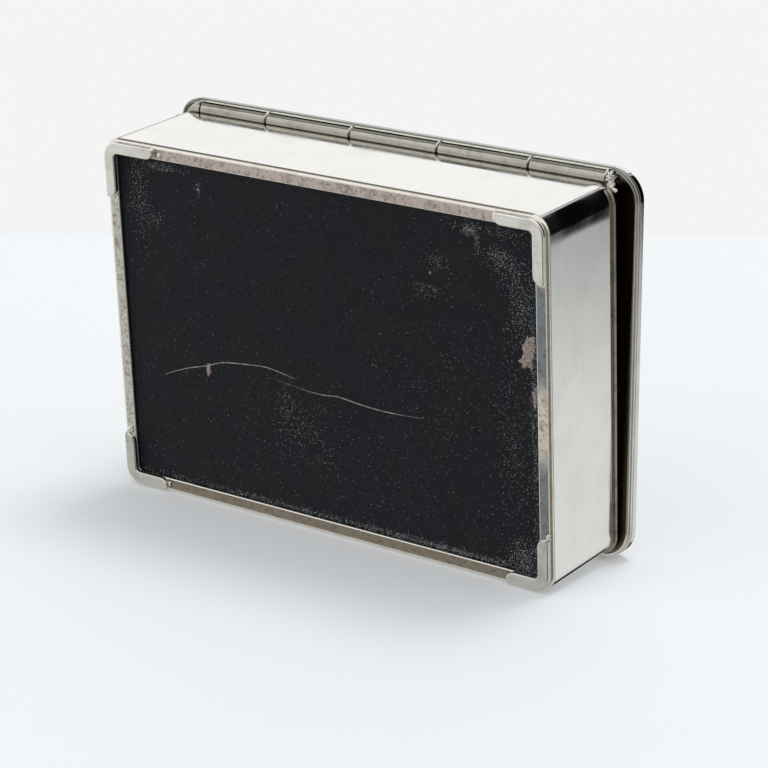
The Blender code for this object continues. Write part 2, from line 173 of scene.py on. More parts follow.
@dataclass(frozen=True)
class Silver(Finish):
    """Sterling silver: pale and warm, mirror bright where it is polished, grey and brown where it tarnishes.

    Its colour darkens along one axis towards a second tone, which on the wall, the hinge and the lid's beads
    is painted shade. A pair named edges holds the values of a pattern between which its mark begins and is
    strongest.
    """

    tone: str = "#f6f4ef"
    tarnish: str = "#b9b2a4"
    tarnish_share: float = 0.25
    tarnish_size: float = 0.009
    tarnish_edges: Point = (0.45, 0.72)
    roughness: float = 0.07
    rougher: float = 0.16
    rougher_edges: Point = (0.35, 0.7)
    run: Run = Run.ALONG_X
    streak_width: float = 0.0005
    streak_length: float = 0.03
    streak_depth: float = 0.000001
    streak_shade: float = 0.08
    streak_edges: Point = (0.35, 0.75)
    wave_size: float = 0.018
    wave_depth: float = 0.00001
    pit_size: float = 0.004
    pit_edges: Point = (0.064, 0.04)
    pit_depth: float = 0.7
    pit_tone: str = "#5a554c"
    pitted_edges: Point = (0.80, 0.82)
    # The darker tone, its strength, its axis and its span: painted shade on the wall, the hinge and the lid's
    # beads.
    shade_and_tarnish_tone: str = "#6b675b"
    shade_and_tarnish_share: float = 0.0
    shade_and_tarnish_axis: str = "Z"
    shade_and_tarnish_span: Point = (0.0, 0.0)

    def colour(self, tree: Tree, place: Socket) -> Socket:
        """The base colour: clean metal under thin tarnish, with streaks and a few pits.

        Args:
            tree: The material's nodes.
            place: The object's coordinates.

        Returns:
            The colour's socket.
        """
        clouds = add_node(tree, "TexNoise", {"Vector": place, "Scale": 1 / self.tarnish_size, "Detail": 6,
                                             "Roughness": 0.62}).outputs["Fac"]
        toned = coat(tree, self.tone, self.tarnish, clouds, self.tarnish_edges, self.tarnish_share)
        brushed = add_node(tree, "TexNoise", {"Vector": self.along_run(tree, place), "Scale": 1,
                                              "Detail": 4}).outputs["Fac"]
        toned = coat(tree, toned, self.pit_tone, brushed, self.streak_edges, self.streak_shade)
        # A darker tone graded along one axis; at the hinge, on the wall behind it and on the lid's beads over
        # it, it is painted shade.
        along = add_node(tree, "SeparateXYZ", {"Vector": place}).outputs[self.shade_and_tarnish_axis]
        toned = coat(tree, toned, self.shade_and_tarnish_tone, along, self.shade_and_tarnish_span, self.shade_and_tarnish_share)
        pits = add_node(tree, "TexVoronoi", {"Vector": place, "Scale": 1 / self.pit_size}).outputs
        picked = add_node(tree, "SeparateColor", {"Color": pits["Color"]}).outputs["Red"]
        low, high = self.pitted_edges
        pitted = add_node(tree, "MapRange", {"Value": picked, "From Min": low, "From Max": high,
                                             "To Max": self.pit_depth}, interpolation_type="SMOOTHSTEP")
        return coat(tree, toned, self.pit_tone, pits["Distance"], self.pit_edges, pitted.outputs["Result"])

    def along_run(self, tree: Tree, place: Socket) -> Socket:
        """The coordinates drawn out along the brush marks, a streak's width and length to one unit."""
        scale = self.run.scale(self.streak_width, self.streak_length)
        return add_node(tree, "Mapping", {"Vector": place, "Scale": scale}).outputs[0]

    def relief(self, tree: Tree, place: Socket) -> Socket:
        """The surface's slight waves from the hammer and its polishing streaks.

        Args:
            tree: The material's nodes.
            place: The object's coordinates.

        Returns:
            The normal's socket.
        """
        streaks = add_node(tree, "TexNoise", {"Vector": self.along_run(tree, place), "Scale": 1, "Detail": 3})
        waves = add_node(tree, "TexNoise", {"Vector": place, "Scale": 1 / self.wave_size, "Detail": 1})
        fine = add_node(tree, "Bump", {"Height": streaks.outputs["Fac"], "Distance": self.streak_depth,
                                       "Strength": 1})
        return add_node(tree, "Bump", {"Height": waves.outputs["Fac"], "Distance": self.wave_depth,
                                       "Strength": 1, "Normal": fine.outputs[0]}).outputs[0]

    def surface(self, tree: Tree, place: Socket) -> dict:
        """The metal, which handling has dulled in patches.

        Args:
            tree: The material's nodes.
            place: The object's coordinates.

        Returns:
            Sockets and values, by the name of the shader's input.
        """
        handled = add_node(tree, "TexNoise", {"Vector": place, "Scale": 1 / self.wave_size, "Detail": 7,
                                              "Roughness": 0.6}).outputs["Fac"]
        low, high = self.rougher_edges
        dulled = add_node(tree, "MapRange", {"Value": handled, "From Min": low, "From Max": high,
                                             "To Min": self.roughness, "To Max": self.rougher},
                          interpolation_type="SMOOTHSTEP").outputs["Result"]
        return {"Metallic": 1, "Base Color": self.colour(tree, place), "Roughness": dulled,
                "Normal": self.relief(tree, place)}


@dataclass(frozen=True)
class FlangeSilver(Silver):
    """Silver that has stood against tables for long: tarnished pink, brown and steel blue, side by side."""

    tarnish_edges: Point = (0.48, 0.62)
    back_tone: str = "#d2c6c0"
    front_tone: str = "#958e81"
    left_tone: str = "#8f989f"
    left_worn_tone: str = "#efe9dc"
    right_tone: str = "#dad9d3"
    worn_middle: float = -0.005
    worn_spacing: float = 0.055
    worn_edges: Point = (-0.3, 0.9)
    spot_tone: str = "#5d5650"
    spot_size: float = 0.0012
    spot_share: float = 0.55
    spot_edges: Point = (0.52, 0.64)
    front_edges: Point = (-0.0522, -0.0530)
    left_edges: Point = (-0.0767, -0.0775)
    right_edges: Point = (0.0767, 0.0775)

    def colour(self, tree: Tree, place: Socket) -> Socket:
        """The base colour, one tone for each side of the flange and worn places, with brown clouds over them.

        Args:
            tree: The material's nodes.
            place: The object's coordinates.

        Returns:
            The colour's socket.
        """
        axes = add_node(tree, "SeparateXYZ", {"Vector": place}).outputs
        toned = coat(tree, self.back_tone, self.front_tone, axes["Y"], self.front_edges)
        toned = coat(tree, toned, self.left_tone, axes["X"], self.left_edges)
        low, high = self.left_edges
        left = add_node(tree, "MapRange", {"Value": axes["X"], "From Min": low, "From Max": high},
                        interpolation_type="SMOOTHSTEP").outputs["Result"]
        from_middle = add_node(tree, "Math", {0: axes["Y"], 1: self.worn_middle}, operation="SUBTRACT")
        turns = add_node(tree, "Math", {0: from_middle.outputs[0], 1: math.tau / self.worn_spacing},
                         operation="MULTIPLY")
        swell = add_node(tree, "Math", {0: turns.outputs[0]}, operation="COSINE").outputs[0]
        toned = coat(tree, toned, self.left_worn_tone, swell, self.worn_edges, left)
        toned = coat(tree, toned, self.right_tone, axes["X"], self.right_edges)
        clouds = add_node(tree, "TexNoise", {"Vector": place, "Scale": 1 / self.tarnish_size, "Detail": 8,
                                             "Roughness": 0.7}).outputs["Fac"]
        toned = coat(tree, toned, self.tarnish, clouds, self.tarnish_edges, self.tarnish_share)
        speckle = add_node(tree, "TexNoise", {"Vector": place, "Scale": 1 / self.spot_size, "Detail": 6,
                                              "Roughness": 0.65}).outputs["Fac"]
        return coat(tree, toned, self.spot_tone, speckle, self.spot_edges, self.spot_share)


@dataclass(frozen=True)
class WallSilver(Silver):
    """Sheet silver bent round the box's corners, so that its sides begin to turn before they reach them."""

    bend_edges: Point = (0.0485, 0.0560)
    bend_depth: float = 0.00022

    def relief(self, tree: Tree, place: Socket) -> Socket:
        """The plain relief and, over it, the slow start of the bend towards the back.

        Args:
            tree: The material's nodes.
            place: The object's coordinates.

        Returns:
            The normal's socket.
        """
        deep = add_node(tree, "SeparateXYZ", {"Vector": place}).outputs["Y"]
        low, high = self.bend_edges
        bent = add_node(tree, "MapRange", {"Value": deep, "From Min": low, "From Max": high, "To Min": 1,
                                           "To Max": 0}, interpolation_type="SMOOTHSTEP").outputs["Result"]
        return add_node(tree, "Bump", {"Height": bent, "Distance": self.bend_depth, "Strength": 1,
                                       "Normal": super().relief(tree, place)}).outputs[0]


@dataclass(frozen=True)
class Leather(Finish):
    """Bookbinder's black leather, thin and close grained, with rubbed spots where its pale fibre shows."""

    tone: str = "#161b22"
    warm_tone: str = "#1c1a20"
    warm_edges: Point = (0.4, 0.65)
    fibre: str = "#b4bdc3"
    point_spacing: float = 0.0007
    point_edges: Point = (0.17, 0.09)
    point_rarity: float = 0.82
    grain_size: float = 0.0007
    grain_depth: float = 0.00006
    # The real grit is finer than a pixel, so it is drawn a little coarser than it is.
    speck_size: float = 0.00045
    speck_edges: Point = (0.62, 0.80)
    speck_share: float = 0.35
    patch_size: float = 0.02
    rubbed_edges: Point = (0.38, 0.62)
    rubbed_least: float = 0.25
    roughness: float = 0.55
    shine: float = 0.16

    def surface(self, tree: Tree, place: Socket) -> dict:
        """The black skin in two tones, with grit and points of fibre where it is rubbed.

        Args:
            tree: The material's nodes.
            place: The object's coordinates.

        Returns:
            Sockets and values, by the name of the shader's input.
        """
        patches = add_node(tree, "TexNoise", {"Vector": place, "Scale": 1 / self.patch_size, "Detail": 5})
        toned = coat(tree, self.tone, self.warm_tone, patches.outputs["Fac"], self.warm_edges)
        spread = add_node(tree, "TexNoise", {"Vector": place, "Scale": 1 / self.patch_size, "Detail": 3,
                                             "W": 3.0}, noise_dimensions="4D").outputs["Fac"]
        low, high = self.rubbed_edges
        rubbed = add_node(tree, "MapRange", {"Value": spread, "From Min": low, "From Max": high,
                                             "To Min": self.rubbed_least},
                          interpolation_type="SMOOTHSTEP").outputs["Result"]
        faint = add_node(tree, "Math", {0: rubbed, 1: self.speck_share}, operation="MULTIPLY").outputs[0]
        grit = add_node(tree, "TexNoise", {"Vector": place, "Scale": 1 / self.speck_size, "Detail": 2,
                                           "Roughness": 0.7}).outputs["Fac"]
        toned = coat(tree, toned, self.fibre, grit, self.speck_edges, faint)
        points = add_node(tree, "TexVoronoi", {"Vector": place, "Scale": 1 / self.point_spacing}).outputs
        picked = add_node(tree, "SeparateColor", {"Color": points["Color"]}).outputs["Red"]
        some = add_node(tree, "Math", {0: picked, 1: self.point_rarity}, operation="GREATER_THAN").outputs[0]
        shown = add_node(tree, "Math", {0: some, 1: rubbed}, operation="MULTIPLY").outputs[0]
        toned = coat(tree, toned, self.fibre, points["Distance"], self.point_edges, shown)
        grain = add_node(tree, "TexVoronoi", {"Vector": place, "Scale": 1 / self.grain_size})
        relief = add_node(tree, "Bump", {"Height": grain.outputs["Distance"], "Distance": self.grain_depth,
                                         "Strength": 0.6})
        return {"Base Color": toned, "Roughness": self.roughness, "Specular IOR Level": self.shine,
                "Normal": relief.outputs[0]}


@dataclass(frozen=True)
class Cedar(Finish):
    """Spanish cedar, sawn and planed but not varnished: red brown, with fine dark pores along the grain."""

    run: Run
    tone: str = "#b47a4f"
    late_tone: str = "#8a5231"
    late_edges: Point = (0.42, 0.62)
    pore_tone: str = "#5b3019"
    pore_edges: Point = (0.56, 0.68)
    pore_share: float = 0.75
    pore_depth: float = 0.00005
    ring_width: float = 0.0045
    ring_length: float = 0.09
    pore_width: float = 0.00035
    pore_length: float = 0.006
    roughness: float = 0.62

    def surface(self, tree: Tree, place: Socket) -> dict:
        """The wood's rings, with its open pores over them.

        Args:
            tree: The material's nodes.
            place: The object's coordinates.

        Returns:
            Sockets and values, by the name of the shader's input.
        """
        wide = self.run.scale(self.ring_width, self.ring_length)
        wide_place = add_node(tree, "Mapping", {"Vector": place, "Scale": wide}).outputs[0]
        rings = add_node(tree, "TexNoise", {"Vector": wide_place, "Scale": 1, "Detail": 4, "Distortion": 0.8})
        toned = coat(tree, self.tone, self.late_tone, rings.outputs["Fac"], self.late_edges)
        narrow = self.run.scale(self.pore_width, self.pore_length)
        narrow_place = add_node(tree, "Mapping", {"Vector": place, "Scale": narrow}).outputs[0]
        pores = add_node(tree, "TexNoise", {"Vector": narrow_place, "Scale": 1, "Detail": 3,
                                            "Roughness": 0.6}).outputs["Fac"]
        relief = add_node(tree, "Bump", {"Height": pores, "Distance": self.pore_depth, "Strength": 0.5},
                          invert=True)
        return {"Base Color": coat(tree, toned, self.pore_tone, pores, self.pore_edges, self.pore_share),
                "Roughness": self.roughness, "Normal": relief.outputs[0]}


@dataclass(frozen=True)
class Plain(Finish):
    """One plain matt colour with a little grain, for worn fibre and dust."""

    tone: str
    dark_tone: str
    roughness: float = 0.8
    grain_size: float = 0.0004
    grain_edges: Point = (0.35, 0.7)

    def surface(self, tree: Tree, place: Socket) -> dict:
        """The matt colour.

        Args:
            tree: The material's nodes.
            place: The object's coordinates.

        Returns:
            Sockets and values, by the name of the shader's input.
        """
        grain = add_node(tree, "TexNoise", {"Vector": place, "Scale": 1 / self.grain_size, "Detail": 3})
        return {"Base Color": coat(tree, self.tone, self.dark_tone, grain.outputs["Fac"], self.grain_edges),
                "Roughness": self.roughness}


# Sheet silver, planished and buffed up and down: near white, with painted shade as a dark band along its top,
# behind the hinge barrel.
WALL_SILVER = WallSilver("polished_sheet_silver", tone="#fbfaf8", tarnish_share=0.05, run=Run.ALONG_Y,
                         wave_depth=0.00005, streak_width=0.0008, streak_shade=0.035, shade_and_tarnish_tone="#3f3c36",
                         shade_and_tarnish_share=0.9, shade_and_tarnish_span=(0.0354, 0.0360))
# The same sheet bent over a stake and worn by hands: a bright round edge under a warm brown line.
EDGE_SILVER = Silver("worn_edge_silver", tone="#f4efe6", tarnish="#b3a48f", tarnish_share=0.3,
                     tarnish_size=0.004, roughness=0.12, rougher=0.22, shade_and_tarnish_tone="#7d766a", shade_and_tarnish_share=0.7,
                     shade_and_tarnish_span=(0.0022, 0.0026))
# Plates sawn from silver sheet and rubbed on tables: a soft shine with grey patches, greyer in front.
FOOT_SILVER = Silver("rubbed_foot_silver", tone="#fbf9f4", tarnish="#8f8b80", tarnish_share=0.3,
                     roughness=0.14, rougher=0.26, streak_depth=0.000002, shade_and_tarnish_tone="#77756e", shade_and_tarnish_axis="Y",
                     shade_and_tarnish_share=0.32, shade_and_tarnish_span=(0.03, -0.05))
# Sheet silver buffed along the box: clean and bright, with faint straight streaks.
LID_SILVER = Silver("polished_lid_silver", tone="#efede8", tarnish_share=0.1)
# Drawn silver bead wire: bright in front and at the sides, with painted shade at the back, over the hinge.
BEAD_SILVER = Silver("bead_silver_painted_shade", tone="#efede8", shade_and_tarnish_tone="#45423c", shade_and_tarnish_axis="Y",
                     shade_and_tarnish_share=0.68, shade_and_tarnish_span=(0.048, 0.0575))
# The flange's filed edge, rubbed against the leather: a thin bright line.
LIP_SILVER = Silver("bright_lip_silver", tone="#f8f6ee", tarnish_share=0.2, tarnish_size=0.003,
                    roughness=0.2, rougher=0.3)
# Sheet silver under the lid that is never polished: grey brown and half dull.
LEDGE_SILVER = Silver("dull_frame_silver", tone="#6f675e", tarnish="#3a3128", tarnish_share=0.6,
                      roughness=0.22, rougher=0.32, run=Run.ALONG_Y, streak_width=0.0008, streak_shade=0.3)
# Drawn half-round silver wire under the lid's edge: a grey brown tone of painted shade, with tarnish clouds
# and a thin shine.
WIRE_SILVER = Silver("wire_silver_painted_shade", tone="#a39b8e", tarnish="#4a4237", tarnish_share=0.6,
                     tarnish_size=0.004, run=Run.ALONG_Y)
# Sheet silver turned in under the walls and never buffed: mottled tarnish with hardly any shine.
FLANGE_SILVER = FlangeSilver("tarnished_flange_silver", tarnish="#8a6b58", tarnish_share=0.42, roughness=0.3,
                             rougher=0.45, tarnish_size=0.0025)
# Silver tube drawn through a plate: long straight streaks, and painted shade in olive grey on its lower side,
# next to the wall.
HINGE_SILVER = Silver("drawn_hinge_silver", tone="#e6e4d8", tarnish="#8e8a7c", tarnish_share=0.4,
                      tarnish_size=0.004, roughness=0.08, rougher=0.16, streak_depth=0.000008,
                      streak_shade=0.2, shade_and_tarnish_share=0.55, shade_and_tarnish_span=(0.0388, 0.0371))
# Silver solder left as it ran: small bright beads with grey between them.
SOLDER = Silver("silver_solder", tone="#f0eee6", tarnish="#8f8878", roughness=0.1, rougher=0.2)
# Goatskin pared thin, dyed black and glazed: close grained, nearly matt, and pale where it is rubbed.
LEATHER = Leather("black_leather_finish")
# Leather fibre rubbed loose in flakes: chalky and nearly white.
FIBRE = Plain("rubbed_leather_fibre", "#eef1f2", "#b9c0c2")
# The leather's torn flesh side: matt and pinkish grey.
PINK_FIBRE = Plain("torn_leather_backing", "#c4b3ad", "#605a58")
# Leather scraped by a hard point: matt, pale and brownish, in broken patches.
SCUFF = Plain("scuffed_leather", "#b8b3ac", "#68645f", grain_size=0.0012)


@dataclass(frozen=True)
class Outline:
    """A rectangle with round corners, centred on X and on Y = middle."""

    length: float
    depth: float
    radius: float
    middle: float = 0.0

    def inset(self, distance: float) -> "Outline":
        """The outline this far inside."""
        length, depth = self.length - 2 * distance, self.depth - 2 * distance
        return Outline(length, depth, self.radius - distance, self.middle)


@dataclass(frozen=True)
class Sizes:
    """The sizes that several sub-assemblies share."""

    length: float = 0.165
    depth: float = 0.1165
    corner_radius: float = 0.006
    wall_height: float = 0.0353
    sheet: float = 0.0008
    seam: float = 0.0003
    foot_thickness: float = 0.0012
    wire_thickness: float = 0.0006
    barrel_radius: float = 0.003
    hinge_stand_off: float = 0.00035
    hinge_to_left: float = 0.0028
    side_overhang: float = 0.0038
    back_overhang: float = 0.0024
    front_overhang: float = 0.0026
    lid_corner_radius: float = 0.0095
    frame_recess: float = 0.0002

    @property
    def outline(self) -> Outline:
        """The outside of the walls."""
        return Outline(self.length, self.depth, self.corner_radius)

    @property
    def flange_bottom(self) -> float:
        """The height of the flange's underside."""
        return self.foot_thickness + self.seam

    @property
    def rim_top(self) -> float:
        """The height of the walls' upper edge."""
        return self.flange_bottom + self.wall_height

    @property
    def hinge_place(self) -> Vector:
        """The middle of the hinge line."""
        _, back, up = frame["joints"][0]["pos_m"]
        return Vector((0, back, up))

    @property
    def lid_outline(self) -> Outline:
        """The outside of the lid, measured from the hinge line while it is level.

        Returns:
            The outline.
        """
        depth = self.depth + self.back_overhang + self.front_overhang
        length = self.length + 2 * self.side_overhang
        middle = self.back_overhang - self.hinge_stand_off - depth / 2
        return Outline(length, depth, self.lid_corner_radius, middle)

    @property
    def lid_place(self) -> Matrix:
        """The turn and shift that close the lid: its back lies on the barrel and its front on the rim.

        Returns:
            The matrix that carries a level piece of the lid there.
        """
        under_frame = self.barrel_radius + self.seam
        down_to_rim = self.hinge_place.z - self.rim_top - self.seam
        reach = self.depth + self.hinge_stand_off + self.seam + self.wire_thickness
        lean = math.atan2(under_frame, reach) + math.asin(down_to_rim / math.hypot(reach, under_frame))
        return Matrix.Translation(self.hinge_place) @ Matrix.Rotation(lean, 4, "X")


SIZES = Sizes()


def arc(centre: Point, radii: Point, start: float, end: float, steps: int) -> list[Point]:
    """The points of a round or elliptical arc between two angles in degrees, both ends included."""
    angles = [math.radians(start + (end - start) * step / steps) for step in range(steps + 1)]
    return [(centre[0] + radii[0] * math.cos(a), centre[1] + radii[1] * math.sin(a)) for a in angles]


def ease(shape: Shape, parts: Sequence, radius: float, steps: int, affect: str = "EDGES") -> None:
    """Rounds these edges off, or these corners where affect is VERTICES, in so many steps."""
    bmesh.ops.bevel(shape, geom=parts, offset=radius, segments=steps, affect=affect, profile=0.5, material=-1)


def lift(shape: Shape, parts: Sequence, up: float) -> None:
    """Moves the corners among some parts of a mesh straight up."""
    corners = [part for part in parts if isinstance(part, bmesh.types.BMVert)]
    bmesh.ops.translate(shape, verts=corners, vec=(0, 0, up))


def cut_off(shape: Shape, point: Place, beyond: Place) -> None:
    """Cuts a mesh in a plane, takes away what is beyond it and closes the cut.

    Args:
        shape: The closed mesh.
        point: A point of the plane.
        beyond: The way to the side that goes.
    """
    parts = shape.verts[:] + shape.edges[:] + shape.faces[:]
    bmesh.ops.bisect_plane(shape, geom=parts, plane_co=point, plane_no=beyond, clear_outer=True)
    bmesh.ops.holes_fill(shape, edges=shape.edges)


def sweep(profile: Sequence[Point], outline: Outline, steps: int = 20) -> Shape:
    """Carries a closed profile round an outline: spun at the corners and drawn along the sides.

    Args:
        profile: Points (outwards, up), with outwards measured from the outline.
        outline: The rectangle with round corners.
        steps: The steps of a corner.

    Returns:
        The closed ring.
    """
    shape = bmesh.new()
    right = outline.length / 2 - outline.radius
    back = outline.depth / 2 - outline.radius
    corners = [shape.verts.new((outline.length / 2 + out, outline.middle + back, up)) for out, up in profile]
    section = corners + [shape.edges.new(pair) for pair in zip(corners, corners[1:] + corners[:1])]
    turns = ((right, back), (-right, back), (-right, -back), (right, -back))
    runs = ((-2 * right, 0, 0), (0, -2 * back, 0), (2 * right, 0, 0), (0, 2 * back, 0))
    for (x, y), run in zip(turns, runs):
        spun = bmesh.ops.spin(shape, geom=section, cent=(x, outline.middle + y, 0), axis=(0, 0, 1),
                              angle=math.radians(90), steps=steps)
        edges = [part for part in spun["geom_last"] if isinstance(part, bmesh.types.BMEdge)]
        drawn = bmesh.ops.extrude_edge_only(shape, edges=edges)["geom"]
        moved = [part for part in drawn if isinstance(part, bmesh.types.BMVert)]
        bmesh.ops.translate(shape, verts=moved, vec=run)
        section = moved + [part for part in drawn if isinstance(part, bmesh.types.BMEdge)
                           and all(end in moved for end in part.verts)]
    return shape


def block(outline: Outline, bottom: float, top: float, steps: int) -> Shape:
    """A flat block with round corners.

    Args:
        outline: Its outline.
        bottom: The height of its lower face.
        top: The height of its upper face.
        steps: The steps of a corner.

    Returns:
        The closed block.
    """
    shape = bmesh.new()
    size = Matrix.Diagonal((outline.length, outline.depth, top - bottom, 1))
    place = Matrix.Translation((0, outline.middle, (bottom + top) / 2))
    bmesh.ops.create_cube(shape, size=1, matrix=place @ size)
    upright = [edge for edge in shape.edges if abs(edge.verts[0].co.z - edge.verts[1].co.z) > WELD]
    ease(shape, upright, outline.radius, steps)
    return shape


def slab(outline: Outline, bottom: float, thickness: float, easing: float) -> Shape:
    """A flat board with round corners and eased edges.

    Args:
        outline: Its outline.
        bottom: The height of its lower face.
        thickness: Its thickness.
        easing: The radius of its long edges.

    Returns:
        The closed board.
    """
    shape = block(outline, bottom, bottom + thickness, steps=16)
    rims = [edge for edge in shape.edges if abs(edge.verts[0].co.z - edge.verts[1].co.z) < WELD]
    ease(shape, rims, easing, steps=3)
    return shape


def turn(profile: Sequence[Point], steps: int = 72) -> Shape:
    """Spins a profile about the X axis.

    Args:
        profile: Points (radius, along), along towards +X. It is closed unless it starts and ends on the axis.
        steps: The steps of the whole turn.

    Returns:
        The closed piece.
    """
    shape = bmesh.new()
    corners = [shape.verts.new((along, 0, radius)) for radius, along in profile]
    edges = [shape.edges.new(pair) for pair in zip(corners, corners[1:])]
    if min(radius for radius, _ in profile) > 0:
        edges.append(shape.edges.new((corners[-1], corners[0])))
    bmesh.ops.spin(shape, geom=corners + edges, cent=(0, 0, 0), axis=(1, 0, 0), angle=math.radians(360),
                   steps=steps, use_merge=True)
    return shape


def add_lump(shape: Shape, centre: Place, radii: Place, seed: float, uneven_share: float = 0.5) -> None:
    """Adds a blob of run solder or torn fibre, a ball that broad and fine noise make uneven.

    Args:
        shape: The mesh that gets it.
        centre: Its centre.
        radii: Its radii along X, Y and Z.
        seed: Picks its form.
        uneven_share: How far noise moves its surface, as a share of its radii.
    """
    shift = Vector((seed, seed, seed))
    for vertex in bmesh.ops.create_icosphere(shape, subdivisions=4, radius=1)["verts"]:
        broad, fine = (noise.noise(vertex.co * scale + shift) for scale in (1.7, 4.3))
        swell = 1 + uneven_share * (broad + 0.5 * fine)
        vertex.co = Vector([c + r * swell * v for c, r, v in zip(centre, radii, vertex.co)])


def finish_piece(name: str, shape: Shape, body: str, finish: Finish,
                 replaces: Sequence[str] = (), sharp_degrees: float = 32) -> Piece:
    """Makes the shape one finished piece that rides on a body.

    Args:
        name: The piece's name.
        shape: Its mesh, which is freed.
        body: The CAD body that carries it.
        finish: What its surface is.
        replaces: The CAD nodes that it stands for.
        sharp_degrees: Edges that turn by more than this stay sharp.

    Returns:
        The piece.
    """
    bmesh.ops.remove_doubles(shape, verts=shape.verts, dist=WELD)
    bmesh.ops.recalc_face_normals(shape, faces=shape.faces)
    mesh = bpy.data.meshes.new(name)
    shape.to_mesh(mesh)
    shape.free()
    mesh.materials.append(finish.material())
    mesh.shade_smooth()
    mesh.set_sharp_from_angle(angle=math.radians(sharp_degrees))
    piece = bpy.data.objects.new(name, mesh)
    bpy.context.scene.collection.objects.link(piece)
    normals = piece.modifiers.new("Flat faces stay flat", "WEIGHTED_NORMAL")
    normals.keep_sharp = True
    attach(piece, body)
    if replaces:
        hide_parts(*replaces)
    LOG.info("%s: %d faces on %s", name, len(mesh.polygons), body)
    return piece


@dataclass
class Body:
    """The walls, the flange under them and the wire round the rim's front and sides."""

    bottom_radius: float = 0.0012
    flange_width: float = 0.0046
    wire_height: float = 0.0023
    wire_end: float = 0.0569
    lip_width: float = 0.00035

    def ring(self, name: str, profile: Sequence[Point], finish: Finish) -> Piece:
        """One part of the walls' sheet, swept round the box.

        Args:
            name: The piece's name.
            profile: Its section, points (outwards from the walls, up from the flange).
            finish: What its surface is.

        Returns:
            The piece.
        """
        shape = sweep(profile, SIZES.outline)
        lift(shape, shape.verts, SIZES.flange_bottom)
        return finish_piece(name, shape, "box", finish, ["body_shell"])

    def walls(self) -> Piece:
        """The band of sheet silver, down to where its lower edge begins to roll in.

        Returns:
            The piece.
        """
        outside = [(0, SIZES.wall_height), (0, self.bottom_radius)]
        profile = [(-SIZES.sheet, SIZES.wall_height), *outside, (-SIZES.sheet, self.bottom_radius)]
        return self.ring("wall_band", profile, WALL_SILVER)

    def rolled_edge(self) -> Piece:
        """The round lower edge between the walls and the flange, worn cream and beige.

        Returns:
            The piece.
        """
        rolled = arc((-self.bottom_radius, self.bottom_radius), (self.bottom_radius,) * 2, 0, -90, 10)
        profile = [*rolled, (-self.bottom_radius, SIZES.sheet), (-SIZES.sheet, self.bottom_radius)]
        return self.ring("rolled_edge", profile, EDGE_SILVER)

    def flange(self) -> Piece:
        """The narrow tarnished strip that the walls are turned in to.

        Returns:
            The piece.
        """
        outside, inside = -self.bottom_radius, self.lip_width - self.flange_width
        profile = [(outside, SIZES.sheet), (outside, 0), (inside, 0), (inside, SIZES.sheet)]
        return self.ring("base_flange", profile, FLANGE_SILVER)

    def lip(self) -> Piece:
        """The flange's inner edge, rubbed bright.

        Returns:
            The piece.
        """
        inside = self.lip_width - self.flange_width
        eased = arc((inside, self.lip_width), (self.lip_width,) * 2, 270, 180, 6)
        profile = [(inside, SIZES.sheet), *eased, (-self.flange_width, SIZES.sheet)]
        return self.ring("flange_lip", profile, LIP_SILVER)

    def rim_wire(self) -> Piece:
        """The half-round wire along the rim's front and sides, which ends in the back corners.

        Returns:
            The piece.
        """
        half = self.wire_height / 2
        crown = arc((0, half), (SIZES.seam + SIZES.wire_thickness, half), 90, -90, 14)
        shape = sweep(crown, SIZES.outline)
        lift(shape, shape.verts, SIZES.rim_top - self.wire_height)
        bmesh.ops.remove_doubles(shape, verts=shape.verts, dist=WELD)
        cut_off(shape, (0, self.wire_end, 0), (0, 1, 0))
        return finish_piece("rim_bead", shape, "box", WIRE_SILVER, ["body_rim_wire"])

    def build(self) -> None:
        """Makes all its pieces."""
        self.walls()
        self.rolled_edge()
        self.flange()
        self.lip()
        self.rim_wire()


@dataclass(frozen=True)
class Foot:
    """One corner foot: the corner that it is at and its legs along X and Y."""

    node: str
    side: int
    front_or_back: int
    along_x: float
    along_y: float


